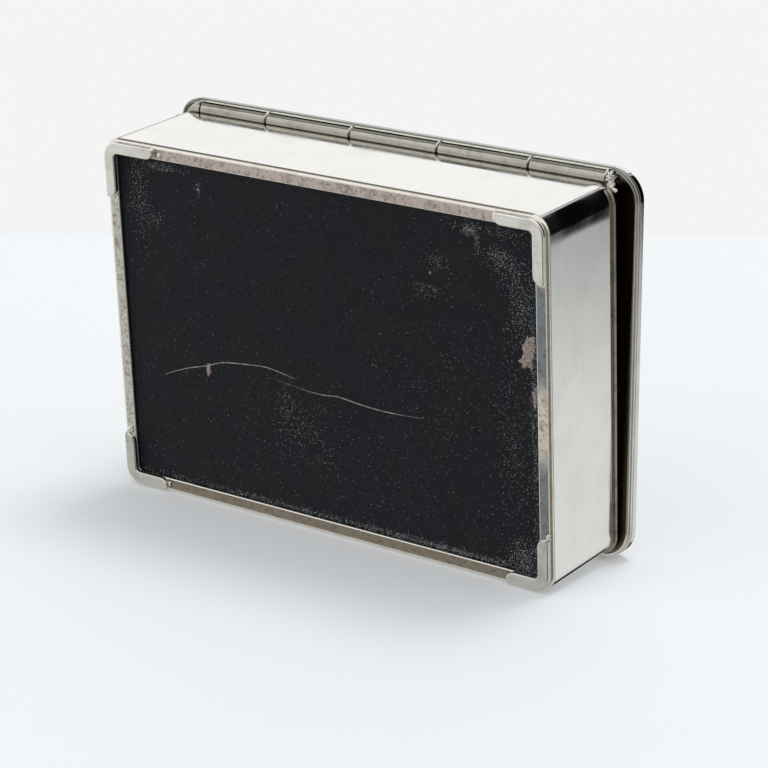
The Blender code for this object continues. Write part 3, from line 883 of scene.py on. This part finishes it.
@dataclass
class Feet:
    """Four flat L plates with worn edges, and the solder that has run out at their ends.

    The roundings are shares of their width, and the solder's rise is a share of their thickness.
    """

    width: float = 0.0039
    longest_leg: float = 0.02
    inset: float = 0.0008
    edge_easing: float = 0.0005
    outer_rounding: float = 0.28
    inner_rounding: float = 0.85
    solder_rise: float = 0.6
    solder_seed_step: float = 3.1

    def plates(self) -> list[Foot]:
        """The four feet, each with the legs that it was cut to.

        Returns:
            The feet.
        """
        leg = self.longest_leg
        return [
            Foot("foot_back_left", -1, 1, leg * 0.865, leg),
            Foot("foot_back_right", 1, 1, leg, leg * 0.915),
            Foot("foot_front_left", -1, -1, leg * 0.765, leg * 0.87),
            Foot("foot_front_right", 1, -1, leg * 0.85, leg * 0.845),
        ]

    def plate(self, foot: Foot) -> Piece:
        """Cuts one L, rounds its corners and eases its edges.

        Args:
            foot: Which foot.

        Returns:
            The piece.
        """
        x = SIZES.length / 2 - self.inset
        y = SIZES.depth / 2 - self.inset
        corner = SIZES.corner_radius - self.inset
        outer = self.width * self.outer_rounding
        inner = self.width * self.inner_rounding
        corners = [
            ((x, y), corner),
            ((x - foot.along_x, y), outer),
            ((x - foot.along_x, y - self.width), inner),
            ((x - self.width, y - self.width), corner - self.width),
            ((x - self.width, y - foot.along_y), inner),
            ((x, y - foot.along_y), outer),
        ]
        shape = bmesh.new()
        points = [shape.verts.new((foot.side * a, foot.front_or_back * b, 0)) for (a, b), _ in corners]
        shape.faces.new(points)
        for point, (_, radius) in zip(points, corners):
            ease(shape, [point], radius, steps=10, affect="VERTICES")
        raised = bmesh.ops.extrude_face_region(shape, geom=shape.faces[:])["geom"]
        lift(shape, raised, SIZES.foot_thickness + SIZES.seam)
        worn = [edge for edge in shape.edges if all(abs(end.co.z) < WELD for end in edge.verts)]
        ease(shape, worn, self.edge_easing, steps=6)
        name = foot.node.replace("foot", "corner_foot")
        return finish_piece(name, shape, "box", FOOT_SILVER, [foot.node])

    def solder(self) -> Piece:
        """The small lumps of solder beside the ends of the feet, on the flange.

        Returns:
            The piece.
        """
        lumps = [
            ((0.0625, 0.0556), (0.0009, 0.0016)),
            ((0.0598, 0.0552), (0.0007, 0.0009)),
            ((0.0795, 0.0402), (0.0013, 0.0011)),
            ((0.0803, -0.0402), (0.0011, 0.0016)),
            ((0.0652, -0.0556), (0.0010, 0.0009)),
            ((-0.0812, -0.0402), (0.0007, 0.0013)),
        ]
        shape = bmesh.new()
        for number, ((x, y), (wide, deep)) in enumerate(lumps):
            radii = (wide, deep, SIZES.foot_thickness * self.solder_rise)
            add_lump(shape, (x, y, SIZES.flange_bottom), radii, self.solder_seed_step * number)
        return finish_piece("foot_solder", shape, "box", SOLDER, sharp_degrees=180)

    def build(self) -> None:
        """Makes all its pieces."""
        for foot in self.plates():
            self.plate(foot)
        self.solder()


@dataclass(frozen=True)
class Dusting:
    """A cluster of rubbed specks on the leather: its middle, its spread along X and Y, and their count."""

    x: float
    y: float
    wide: float
    deep: float
    count: int


@dataclass
class Base:
    """The leather-covered board in the underside, with the marks of its use.

    The sizes, stretches, rise and top of a speck are shares of its radius, and so are a scratch's widths.
    """

    leather_thickness: float = 0.0008
    board_thickness: float = 0.0025
    edge_easing: float = 0.0003
    speck_radius: float = 0.00011
    speck_sizes: Point = (0.45, 1.25)
    speck_stretches: Point = (0.7, 1.6)
    speck_rise: float = 0.5
    speck_top: float = 0.4
    speck_share: int = 3
    batch_size: int = 120
    scratch_radius: float = 0.00023
    scratch_widths: Point = (0.55, 1.0)
    flake_unevenness: float = 1.1
    flake_seed: float = 2.0
    flake_seed_step: float = 7.7
    seed: int = 5

    @property
    def leather_bottom(self) -> float:
        """The height of the leather's face."""
        return SIZES.flange_bottom + SIZES.sheet + SIZES.seam

    @property
    def outline(self) -> Outline:
        """The outline of the leather and of its board, inside the walls."""
        return SIZES.outline.inset(SIZES.sheet + SIZES.seam)

    def leather(self) -> Piece:
        """The leather cover."""
        shape = slab(self.outline, self.leather_bottom, self.leather_thickness, self.edge_easing)
        return finish_piece("leather_cover", shape, "box", LEATHER, ["base_leather"])

    def board(self) -> Piece:
        """The board behind the leather.

        Returns:
            The piece.
        """
        bottom = self.leather_bottom + self.leather_thickness + SIZES.seam
        shape = slab(self.outline, bottom, self.board_thickness, self.edge_easing)
        finish = Cedar("cedar_board", Run.ALONG_X)
        return finish_piece("backing_board", shape, "box", finish, ["base_board"])

    def dustings(self) -> list[Dusting]:
        """Where the leather is rubbed most.

        Returns:
            The clusters, in the order in which their specks are drawn.
        """
        return [Dusting(*row) for row in (
            (0.0700, 0.0410, 0.0022, 0.0075, 130), (0.0610, 0.0512, 0.0050, 0.0008, 60),
            (0.0460, 0.0466, 0.0004, 0.0012, 14), (0.0635, 0.0340, 0.0025, 0.0015, 26),
            (-0.0550, 0.0497, 0.0012, 0.0009, 46), (-0.0575, 0.0462, 0.0006, 0.0016, 22),
            (-0.0655, 0.0428, 0.0028, 0.0022, 90), (-0.0708, 0.0375, 0.0030, 0.0035, 80),
            (-0.0728, 0.0270, 0.0028, 0.0045, 130), (-0.0430, 0.0385, 0.0022, 0.0016, 24),
            (-0.0406, 0.0345, 0.0002, 0.0003, 8), (-0.0397, 0.0289, 0.0030, 0.0012, 26),
            (-0.0600, 0.0505, 0.0090, 0.0010, 60), (-0.0762, 0.0100, 0.0008, 0.0180, 170),
            (-0.0765, -0.0250, 0.0007, 0.0180, 90), (-0.0700, -0.0150, 0.0050, 0.0200, 220),
            (-0.0720, -0.0490, 0.0032, 0.0028, 170), (0.0000, -0.0528, 0.0420, 0.0006, 420),
            (-0.0500, -0.0530, 0.0160, 0.0008, 240), (0.0150, -0.0200, 0.0030, 0.0040, 60),
            (0.0080, -0.0270, 0.0060, 0.0050, 60), (0.0000, -0.0300, 0.0300, 0.0130, 160),
            (-0.0500, 0.0050, 0.0150, 0.0200, 160),
        )]

    def speck_batch(self, dusting: Dusting, count: int, draw: random.Random) -> bpy.types.Mesh:
        """Some of a cluster's flakes. Small batches are quick, because an operator reads its whole mesh.

        Args:
            dusting: The cluster.
            count: How many are drawn. Those that would lie on the flange are left out.
            draw: The source of chance.

        Returns:
            Their mesh.
        """
        edge = SIZES.outline.inset(Body().flange_width + self.speck_radius)
        shape = bmesh.new()
        for _ in range(count):
            x = draw.gauss(dusting.x, dusting.wide)
            y = draw.gauss(dusting.y, dusting.deep)
            radius = self.speck_radius * draw.uniform(*self.speck_sizes)
            stretch = draw.uniform(*self.speck_stretches)
            turned = Matrix.Rotation(draw.uniform(0, math.pi), 4, "Z")
            if abs(x) > edge.length / 2 or abs(y) > edge.depth / 2:
                continue
            place = Matrix.Translation((x, y, self.leather_bottom)) @ turned
            size = Matrix.Diagonal((radius * stretch, radius, -radius * self.speck_rise, 1))
            bmesh.ops.create_cone(shape, cap_ends=True, segments=5, radius1=1, radius2=self.speck_top,
                                  depth=1, matrix=place @ size)
        mesh = bpy.data.meshes.new("speck_batch")
        shape.to_mesh(mesh)
        shape.free()
        return mesh

    def specks(self) -> Piece:
        """Thousands of tiny flakes of pale fibre that stand on the leather, most of them near its edges.

        Returns:
            The piece.
        """
        draw = random.Random(self.seed)
        shape = bmesh.new()
        for dusting in self.dustings():
            left = dusting.count * self.speck_share
            while left > 0:
                batch = self.speck_batch(dusting, min(left, self.batch_size), draw)
                shape.from_mesh(batch)
                bpy.data.meshes.remove(batch)
                left -= self.batch_size
        return finish_piece("leather_specks", shape, "box", FIBRE, sharp_degrees=60)

    def scratches(self) -> Piece:
        """One long scratch across the leather in two strokes, its fibre raised along it.

        Returns:
            The piece.
        """
        strokes = [
            [(0.0647, -0.0180), (0.0561, -0.0142), (0.0469, -0.0118), (0.0406, -0.0092), (0.0333, -0.0084),
             (0.0245, -0.0074), (0.0194, -0.0077), (0.0109, -0.0093)],
            [(0.0190, -0.0108), (0.0099, -0.0121), (0.0003, -0.0124), (-0.0044, -0.0115), (-0.0130, -0.0126),
             (-0.0224, -0.0130), (-0.0298, -0.0127), (-0.0371, -0.0122)],
        ]
        data = bpy.data.curves.new("scratch_path", "CURVE")
        data.dimensions = "3D"
        data.bevel_depth = self.scratch_radius
        data.bevel_resolution = 2
        data.resolution_u = 8
        draw = random.Random(self.seed)
        narrow, wide = self.scratch_widths
        height = self.leather_bottom + self.scratch_radius / 2
        for stroke in strokes:
            spline = data.splines.new("NURBS")
            spline.points.add(len(stroke) - 1)
            for number, (point, (x, y)) in enumerate(zip(spline.points, stroke)):
                point.co = (x, y, height, 1)
                point.radius = narrow if number in (0, len(stroke) - 1) else draw.uniform(narrow, wide)
            spline.use_endpoint_u = True
            spline.order_u = 3
        path = bpy.data.objects.new("scratch_path", data)
        bpy.context.scene.collection.objects.link(path)
        bpy.context.view_layer.update()
        evaluated = path.evaluated_get(bpy.context.evaluated_depsgraph_get())
        shape = bmesh.new()
        shape.from_mesh(evaluated.to_mesh())
        bpy.data.objects.remove(path)
        bmesh.ops.holes_fill(shape, edges=shape.edges)
        return finish_piece("leather_scratch", shape, "box", SCUFF, sharp_degrees=180)

    def flakes(self) -> Piece:
        """Places where the leather's face has flaked off its backing, most of them at the left edge.

        Returns:
            The piece.
        """
        places = [
            ((-0.0745, 0.0158), (0.0016, 0.0032)),
            ((-0.0761, 0.0185), (0.0010, 0.0022)),
            ((-0.0730, 0.0128), (0.0013, 0.0013)),
            ((-0.0765, 0.0025), (0.0006, 0.0022)),
            ((0.0463, -0.0132), (0.0007, 0.0016)),
        ]
        shape = bmesh.new()
        for number, ((x, y), (wide, deep)) in enumerate(places):
            seed = self.flake_seed + self.flake_seed_step * number
            radii = (wide, deep, self.speck_radius)
            add_lump(shape, (x, y, self.leather_bottom), radii, seed, self.flake_unevenness)
        return finish_piece("leather_flakes", shape, "box", PINK_FIBRE, sharp_degrees=180)

    def build(self) -> None:
        """Makes all its pieces."""
        self.leather()
        self.board()
        self.specks()
        self.scratches()
        self.flakes()


@dataclass
class Lining:
    """The cedar boards in the body and in the lid, each a bevelled copy of its solid."""

    edge_easing: float = 0.00035
    flat_degrees: float = 1.0
    hard_degrees: float = 60.0

    def board(self, node: str, body: str, run: Run) -> Piece:
        """One board.

        Args:
            node: The CAD node that it stands for.
            body: The body that carries it.
            run: The way its grain runs.

        Returns:
            The piece.
        """
        shape = bmesh.new()
        shape.from_mesh(frame["nodes"][node].data)
        bmesh.ops.remove_doubles(shape, verts=shape.verts, dist=WELD)
        bmesh.ops.dissolve_limit(shape, angle_limit=math.radians(self.flat_degrees), verts=shape.verts,
                                 edges=shape.edges)
        hard = [edge for edge in shape.edges if edge.calc_face_angle(0) > math.radians(self.hard_degrees)]
        ease(shape, hard, self.edge_easing, steps=2)
        finish = Cedar("cedar_" + run.name.lower(), run)
        return finish_piece("cedar_" + node, shape, body, finish, [node])

    def build(self) -> None:
        """Makes all its pieces."""
        for node in ("liner_bottom", "liner_back", "liner_front"):
            self.board(node, "box", Run.ALONG_X)
        for node in ("liner_left", "liner_right"):
            self.board(node, "box", Run.ALONG_Y)
        self.board("lid_liner", "lid", Run.ALONG_X)


@dataclass
class Hinge:
    """Five knuckles in line, their pin with its bullet nose, and the solder at its other end."""

    end_inset: float = 0.0063
    end_knuckle: float = 0.02685
    joint: float = 0.0003
    edge_easing: float = 0.0005
    pin_radius: float = 0.0011
    nose_length: float = 0.005
    nose_side_droop: float = 0.0009
    solder_length: float = 0.0014
    solder_radius: float = 0.0024
    solder_seed: float = 1.0
    solder_seed_step: float = 5.3
    solder_sharp_degrees: float = 50.0

    @property
    def half_length(self) -> float:
        """Half the length of the five knuckles."""
        return SIZES.length / 2 - self.end_inset

    @property
    def middle(self) -> Vector:
        """The middle of the five knuckles."""
        return SIZES.hinge_place - Vector((SIZES.hinge_to_left, 0, 0))

    def knuckle(self, number: int, right_end: float, length: float) -> Piece:
        """One knuckle, a short tube with eased ends.

        Args:
            number: Its number from the right.
            right_end: Where it starts along X, from the hinge's middle.
            length: Its length with one joint.

        Returns:
            The piece.
        """
        half = (length - self.joint) / 2
        radius = SIZES.barrel_radius
        easing = self.edge_easing
        profile = arc((radius - easing, half - easing), (easing, easing), 90, 0, 4)
        profile += arc((radius - easing, easing - half), (easing, easing), 0, -90, 4)
        profile += [(self.pin_radius, -half), (self.pin_radius, half)]
        shape = turn(profile)
        middle = self.middle + Vector((right_end - length / 2, 0, 0))
        bmesh.ops.translate(shape, verts=shape.verts, vec=middle)
        body = "lid" if number in (2, 4) else "box"
        return finish_piece(f"knuckle_{number}", shape, body, HINGE_SILVER,
                            [f"hinge_knuckle_{number}"])

    def pin(self) -> Piece:
        """The pin with its bullet nose at the right, worn so that it droops towards the rim.

        Returns:
            The piece.
        """
        base = self.half_length + self.joint / 2
        nose = arc((0, base), (SIZES.barrel_radius, self.nose_length), 90, 0, 20)
        nose[0] = (0, nose[0][1])
        shaft = self.pin_radius - self.joint / 2
        shape = turn([*nose, (shaft, base), (shaft, -self.half_length), (0, -self.half_length)])
        for vertex in shape.verts:
            along = max(0.0, (vertex.co.x - base) / self.nose_length)
            round_here = SIZES.barrel_radius * math.sqrt(max(0.0, 1 - along * along))
            vertex.co.z -= SIZES.barrel_radius - round_here
            vertex.co.y -= self.nose_side_droop * along * along
        bmesh.ops.translate(shape, verts=shape.verts, vec=self.middle)
        return finish_piece("bullet_pin", shape, "box", HINGE_SILVER, ["hinge_pin"])

    def solder(self) -> Piece:
        """The lumpy solder that holds the pin's left end.

        Returns:
            The piece.
        """
        end = self.middle - Vector((self.half_length, 0, 0))
        lumps = [
            ((0, 0, 0), (self.solder_length, self.solder_radius, self.solder_radius)),
            ((-0.0006, 0.0010, -0.0012), (0.0009, 0.0011, 0.0012)),
            ((-0.0009, -0.0012, -0.0018), (0.0012, 0.0011, 0.0012)),
            ((-0.0016, -0.0019, -0.0028), (0.0013, 0.0008, 0.0007)),
            ((-0.0030, -0.0024, -0.0027), (0.0008, 0.0006, 0.0006)),
        ]
        shape = bmesh.new()
        for number, (place, radii) in enumerate(lumps):
            add_lump(shape, end + Vector(place), radii, self.solder_seed + self.solder_seed_step * number)
        cut_off(shape, (end.x, 0, 0), (1, 0, 0))
        return finish_piece("pin_solder", shape, "box", SOLDER, ["hinge_pin_solder"],
                            self.solder_sharp_degrees)

    def build(self) -> None:
        """Makes all its pieces."""
        middle = (self.half_length - self.end_knuckle) * 2 / 3
        right_end = self.half_length
        lengths = (self.end_knuckle, middle, middle, middle, self.end_knuckle)
        for number, length in enumerate(lengths, start=1):
            self.knuckle(number, right_end, length)
            right_end -= length
        self.pin()
        self.solder()


@dataclass
class Lid:
    """The lid's sheet, the beads under its edge and the flat frame that rests on the rim."""

    height: float = 0.0047
    sheet: float = 0.0007
    top_radius: float = 0.001
    frame_thickness: float = 0.0008
    frame_width: float = 0.012
    frame_corner: float = 0.0049
    moulding_thickness: float = 0.0011
    large_bead: Point = (0.0004, 0.0013)
    small_bead: Point = (0.0003, 0.0008)
    small_bead_inset: float = 0.0004
    corner_push: float = 0.0011

    @property
    def rise(self) -> float:
        """The height of the lid's lower edge over the hinge line."""
        return SIZES.barrel_radius + SIZES.seam - SIZES.frame_recess

    def square_corner(self, shape: Shape) -> None:
        """Makes the right back corner less round than the others, as it was bent by hand.

        Args:
            shape: A piece of the lid, while it is level.
        """
        outline = SIZES.lid_outline
        back = outline.middle + outline.depth / 2
        centre = Vector((outline.length / 2 - outline.radius, back - outline.radius))
        for vertex in shape.verts:
            away = vertex.co.xy - centre
            if min(away) > 0:
                push = self.corner_push * math.sin(2 * math.atan2(away.y, away.x)) ** 2
                vertex.co.xy += away.normalized() * push

    def closed(self, name: str, shape: Shape, finish: Finish, node: str) -> Piece:
        """Shuts one level piece of the lid and finishes it.

        Args:
            name: The piece's name.
            shape: Its mesh, measured from the hinge line.
            finish: What its surface is.
            node: The CAD node that it stands for.

        Returns:
            The piece.
        """
        self.square_corner(shape)
        bmesh.ops.transform(shape, matrix=SIZES.lid_place, verts=shape.verts)
        return finish_piece(name, shape, "lid", finish, [node])

    def shell(self) -> Piece:
        """The top and its turned-down sides, one sheet.

        Returns:
            The piece.
        """
        bottom = self.rise + self.large_bead[1] + self.small_bead[1]
        top = self.rise + self.height
        shape = block(SIZES.lid_outline, bottom, top, steps=20)
        rim = [edge for edge in shape.edges if all(top - end.co.z < WELD for end in edge.verts)]
        ease(shape, rim, self.top_radius, steps=6)
        under = [face for face in shape.faces if all(corner.co.z - bottom < WELD for corner in face.verts)]
        bmesh.ops.delete(shape, geom=under, context="FACES")
        bmesh.ops.recalc_face_normals(shape, faces=shape.faces)
        bmesh.ops.solidify(shape, geom=shape.faces[:], thickness=self.sheet)
        return self.closed("lid_top", shape, LID_SILVER, "lid_shell")

    def moulding(self) -> Piece:
        """A large bead, flush with the lid's face, over a small one that is set in.

        Returns:
            The piece.
        """
        thick, high = self.large_bead
        small_thick, small_high = self.small_bead
        large = arc((-thick, small_high + high / 2), (thick, high / 2), 90, -90, 12)
        inset = self.small_bead_inset + small_thick
        small = arc((-inset, small_high / 2), (small_thick, small_high / 2), 90, -90, 10)
        inside = [(-self.moulding_thickness, 0), (-self.moulding_thickness, small_high + high)]
        shape = sweep(inside + large + small, SIZES.lid_outline)
        lift(shape, shape.verts, self.rise)
        return self.closed("lid_beads", shape, BEAD_SILVER, "lid_rim_moulding")

    def frame(self) -> Piece:
        """The flat frame under the lid's edge.

        Returns:
            The piece.
        """
        outer = SIZES.lid_outline.inset(self.moulding_thickness)
        across = 2 * (self.frame_width + SIZES.seam)
        inner = Outline(outer.length - across, outer.depth - across, self.frame_corner, outer.middle)
        shape = bmesh.new()
        sheets = []
        for outline in (outer, inner):
            made = bmesh.ops.create_grid(shape, x_segments=1, y_segments=1, size=0.5)["verts"]
            size = Matrix.Diagonal((outline.length, outline.depth, 1, 1))
            place = Matrix.Translation((0, outline.middle, 0))
            bmesh.ops.transform(shape, matrix=place @ size, verts=made)
            for corner in made:
                ease(shape, [corner], outline.radius, steps=16, affect="VERTICES")
            sheets.append(shape.faces[:][-1])
        edges = [edge for sheet in sheets for edge in sheet.edges]
        bmesh.ops.delete(shape, geom=sheets, context="FACES_ONLY")
        bmesh.ops.bridge_loops(shape, edges=edges)
        raised = bmesh.ops.extrude_face_region(shape, geom=shape.faces[:])["geom"]
        lift(shape, raised, self.frame_thickness)
        lift(shape, shape.verts, SIZES.barrel_radius + SIZES.seam)
        return self.closed("lid_ledge", shape, LEDGE_SILVER, "lid_frame")

    def build(self) -> None:
        """Makes all its pieces."""
        self.shell()
        self.moulding()
        self.frame()


@dataclass(frozen=True)
class Panel:
    """A soft round panel of the studio, light or dark, that the silver reflects."""

    towards: Place
    inner_degrees: float
    outer_degrees: float
    colour: str

    @property
    def edges(self) -> Point:
        """The cosines of the angles at which it starts to show and at which it shows fully."""
        return math.cos(math.radians(self.outer_degrees)), math.cos(math.radians(self.inner_degrees))


@dataclass
class Studio:
    """The camera, the room that the silver mirrors, one soft lamp and two pale floors."""

    camera_place: Place = (-0.49122, 0.29693, -0.61919)
    camera_turn: Place = (157.364, -36.201, -177.469)
    focal_length: float = 130.95
    sensor_width: float = 36.0
    nearest: float = 0.01
    lamp_from: Place = (-0.07, 0.85, 0.36)
    lamp_strength: float = 0.86
    lamp_spread: float = 20.0
    near_low_tone: str = "#b4b4b0"
    near_high_tone: str = "#ffffff"
    near_rise: Point = (-0.6, 0.4)
    near_edges: Point = (0.1, -0.3)
    backdrop: str = "#f4f4f4"
    floor_tone: str = "#dee1e4"
    floor_glow: float = 0.215
    floor_tilt: float = 3.7
    standing_reach: float = 3.0
    lying_reach: float = 0.75
    lies_on: Place = (0.0, -0.0590, 0.0125)
    far_edge: Place = (0.1972, -0.0774, 0.2979)

    def camera(self) -> None:
        """The camera, in the photograph's place."""
        data = bpy.data.cameras.new("camera")
        data.lens = self.focal_length
        data.sensor_width = self.sensor_width
        data.clip_start = self.nearest
        made = bpy.data.objects.new("camera", data)
        made.location = self.camera_place
        made.rotation_euler = [math.radians(angle) for angle in self.camera_turn]
        bpy.context.scene.collection.objects.link(made)
        bpy.context.scene.camera = made

    def lamp(self) -> None:
        """One large soft lamp above the lying box and behind it, which the silver doesn't mirror."""
        data = bpy.data.lights.new("soft_lamp", "SUN")
        data.energy = self.lamp_strength
        data.angle = math.radians(self.lamp_spread)
        made = bpy.data.objects.new("soft_lamp", data)
        made.rotation_euler = Vector(self.lamp_from).to_track_quat("Z", "Y").to_euler()
        made.visible_glossy = False
        bpy.context.scene.collection.objects.link(made)

    def heights(self) -> list[tuple[float, str]]:
        """The far room's tones, from its lowest to its highest point along Y.

        Returns:
            Each tone with its height, 0 at the lowest point and 1 at the highest.
        """
        return [(0.0, "#c9cac9"), (0.29, "#dadcda"), (0.315, "#d7d9d7"), (0.335, "#b8bbb9"),
                (0.345, "#a5a9a7"), (0.36, "#9b9f9d"), (0.42, "#8f9290"), (0.50, "#a5a5a1"),
                (0.62, "#d0d0cb"), (0.80, "#ffffff")]

    def panels(self) -> list[Panel]:
        """The studio's panels, each over those before it.

        Returns:
            The panels.
        """
        return [
            Panel((1.0, 0.0, 0.1), 35, 50, "#f4f4f2"),
            Panel((0.30, -0.60, 0.75), 19, 23, "#2a2826"),
            Panel((-0.33, 0.20, 0.92), 30.5, 32, "#050505"),
            Panel((0.42, 0.36, 0.835), 29.0, 29.8, "#ececea"),
            Panel((0.42, 0.36, 0.835), 26.2, 27.0, "#1d1d1c"),
            Panel((0.42, 0.36, 0.835), 23.2, 24, "#f8f8f7"),
            Panel((0.62, -0.25, 0.75), 25.2, 27.2, "#c4c4bf"),
            Panel((0.55, 0.83, -0.02), 17, 19, "#50504c"),
            Panel((0.55, 0.83, -0.02), 12, 14, "#9a9a95"),
            Panel((0.60, 0.72, 0.36), 9, 13, "#0b0a09"),
            Panel((-0.62, -0.05, -0.78), 30, 50, "#77736d"),
        ]

    def room(self) -> None:
        """The room: what the camera sees is plain, and what the silver mirrors has light and dark parts."""
        world = bpy.data.worlds.new("studio_room")
        bpy.context.scene.world = world
        world.use_nodes = True
        tree = world.node_tree
        tree.nodes.clear()
        towards = add_node(tree, "TexCoord").outputs["Generated"]
        axes = add_node(tree, "SeparateXYZ", {"Vector": towards}).outputs
        height = add_node(tree, "MapRange", {"Value": axes["Y"], "From Min": -1}).outputs["Result"]
        ramp = add_node(tree, "ValToRGB", {"Fac": height})
        tones = ramp.color_ramp.elements
        for _ in self.heights()[len(tones):]:
            tones.new(0.5)
        for element, (place, colour) in zip(tones, self.heights()):
            element.position = place
            element.color = linear(colour)
        low, high = self.near_rise
        rising = add_node(tree, "MapRange", {"Value": axes["Y"], "From Min": low, "From Max": high})
        near = add_node(tree, "Mix", {0: rising.outputs["Result"], 6: self.near_low_tone,
                                      7: self.near_high_tone}, data_type="RGBA").outputs[2]
        colour = coat(tree, ramp.outputs["Color"], near, axes["Z"], self.near_edges)
        for panel in self.panels():
            facing = add_node(tree, "VectorMath", {0: towards, 1: Vector(panel.towards).normalized()},
                              operation="DOT_PRODUCT").outputs["Value"]
            colour = coat(tree, colour, panel.colour, facing, panel.edges)
        mirrored = add_node(tree, "Background", {"Color": colour})
        plain = add_node(tree, "Background", {"Color": self.backdrop})
        seen = add_node(tree, "LightPath").outputs["Is Camera Ray"]
        both = add_node(tree, "MixShader", {0: seen, 1: mirrored.outputs[0], 2: plain.outputs[0]})
        add_node(tree, "OutputWorld", {"Surface": both.outputs[0]})

    def floor_paper(self) -> bpy.types.Material:
        """Pale paper that only the camera sees, and only from the side that the box is on.

        Returns:
            The material.
        """
        made = bpy.data.materials.new("pale_paper")
        made.use_nodes = True
        tree = made.node_tree
        tree.nodes.clear()
        matt = add_node(tree, "BsdfDiffuse", {"Color": self.floor_tone})
        glow = add_node(tree, "Emission", {"Color": self.floor_tone, "Strength": self.floor_glow})
        paper = add_node(tree, "AddShader", {0: matt.outputs[0], 1: glow.outputs[0]})
        clear = add_node(tree, "BsdfTransparent")
        seen = add_node(tree, "LightPath").outputs["Is Camera Ray"]
        behind = add_node(tree, "NewGeometry").outputs["Backfacing"]
        front = add_node(tree, "Math", {0: 1.0, 1: behind}, operation="SUBTRACT").outputs[0]
        shown = add_node(tree, "Math", {0: seen, 1: front}, operation="MULTIPLY").outputs[0]
        mixed = add_node(tree, "MixShader", {0: shown, 1: clear.outputs[0], 2: paper.outputs[0]})
        add_node(tree, "OutputMaterial", {"Surface": mixed.outputs[0]})
        return made

    def floor(self, name: str, place: Matrix, reach: float, material: bpy.types.Material) -> None:
        """One floor.

        Args:
            name: Its name.
            place: Carries a level square floor to where it lies.
            reach: Half its width.
            material: Its paper.
        """
        shape = bmesh.new()
        bmesh.ops.create_grid(shape, x_segments=1, y_segments=1, size=reach)
        bmesh.ops.transform(shape, matrix=place, verts=shape.verts)
        mesh = bpy.data.meshes.new(name)
        shape.to_mesh(mesh)
        shape.free()
        mesh.materials.append(material)
        made = bpy.data.objects.new(name, mesh)
        bpy.context.scene.collection.objects.link(made)

    def floors(self) -> None:
        """The floor that the box stands on, and the one that it lies on in the photograph, on its front."""
        paper = self.floor_paper()
        self.floor("standing_floor", Matrix.Identity(4), self.standing_reach, paper)
        up = Matrix.Rotation(math.radians(self.floor_tilt - 90), 3, "X") @ Vector((0, 0, 1))
        turned = Euler([math.radians(angle) for angle in self.camera_turn]).to_matrix()
        across = (turned @ Vector((1, 0, 0))).cross(up).cross(-up).normalized()
        away = up.cross(across)
        edge = Vector(self.far_edge)
        edge -= up * (edge - Vector(self.lies_on)).dot(up)
        middle = edge - away * self.lying_reach
        lying = Matrix.Translation(middle) @ Matrix((across, away, up)).transposed().to_4x4()
        self.floor("lying_floor", lying, self.lying_reach, paper)

    def build(self) -> None:
        """Sets the whole studio up."""
        bpy.context.scene.view_settings.view_transform = "Standard"
        self.camera()
        self.room()
        self.lamp()
        self.floors()


def main() -> None:
    """Builds the box and its studio."""
    logging.basicConfig(level=logging.INFO, format="%(message)s")
    for assembly in (Body(), Feet(), Base(), Lining(), Hinge(), Lid(), Studio()):
        LOG.info("%s", type(assembly).__name__)
        assembly.build()


if __name__ == "__main__":
    main()
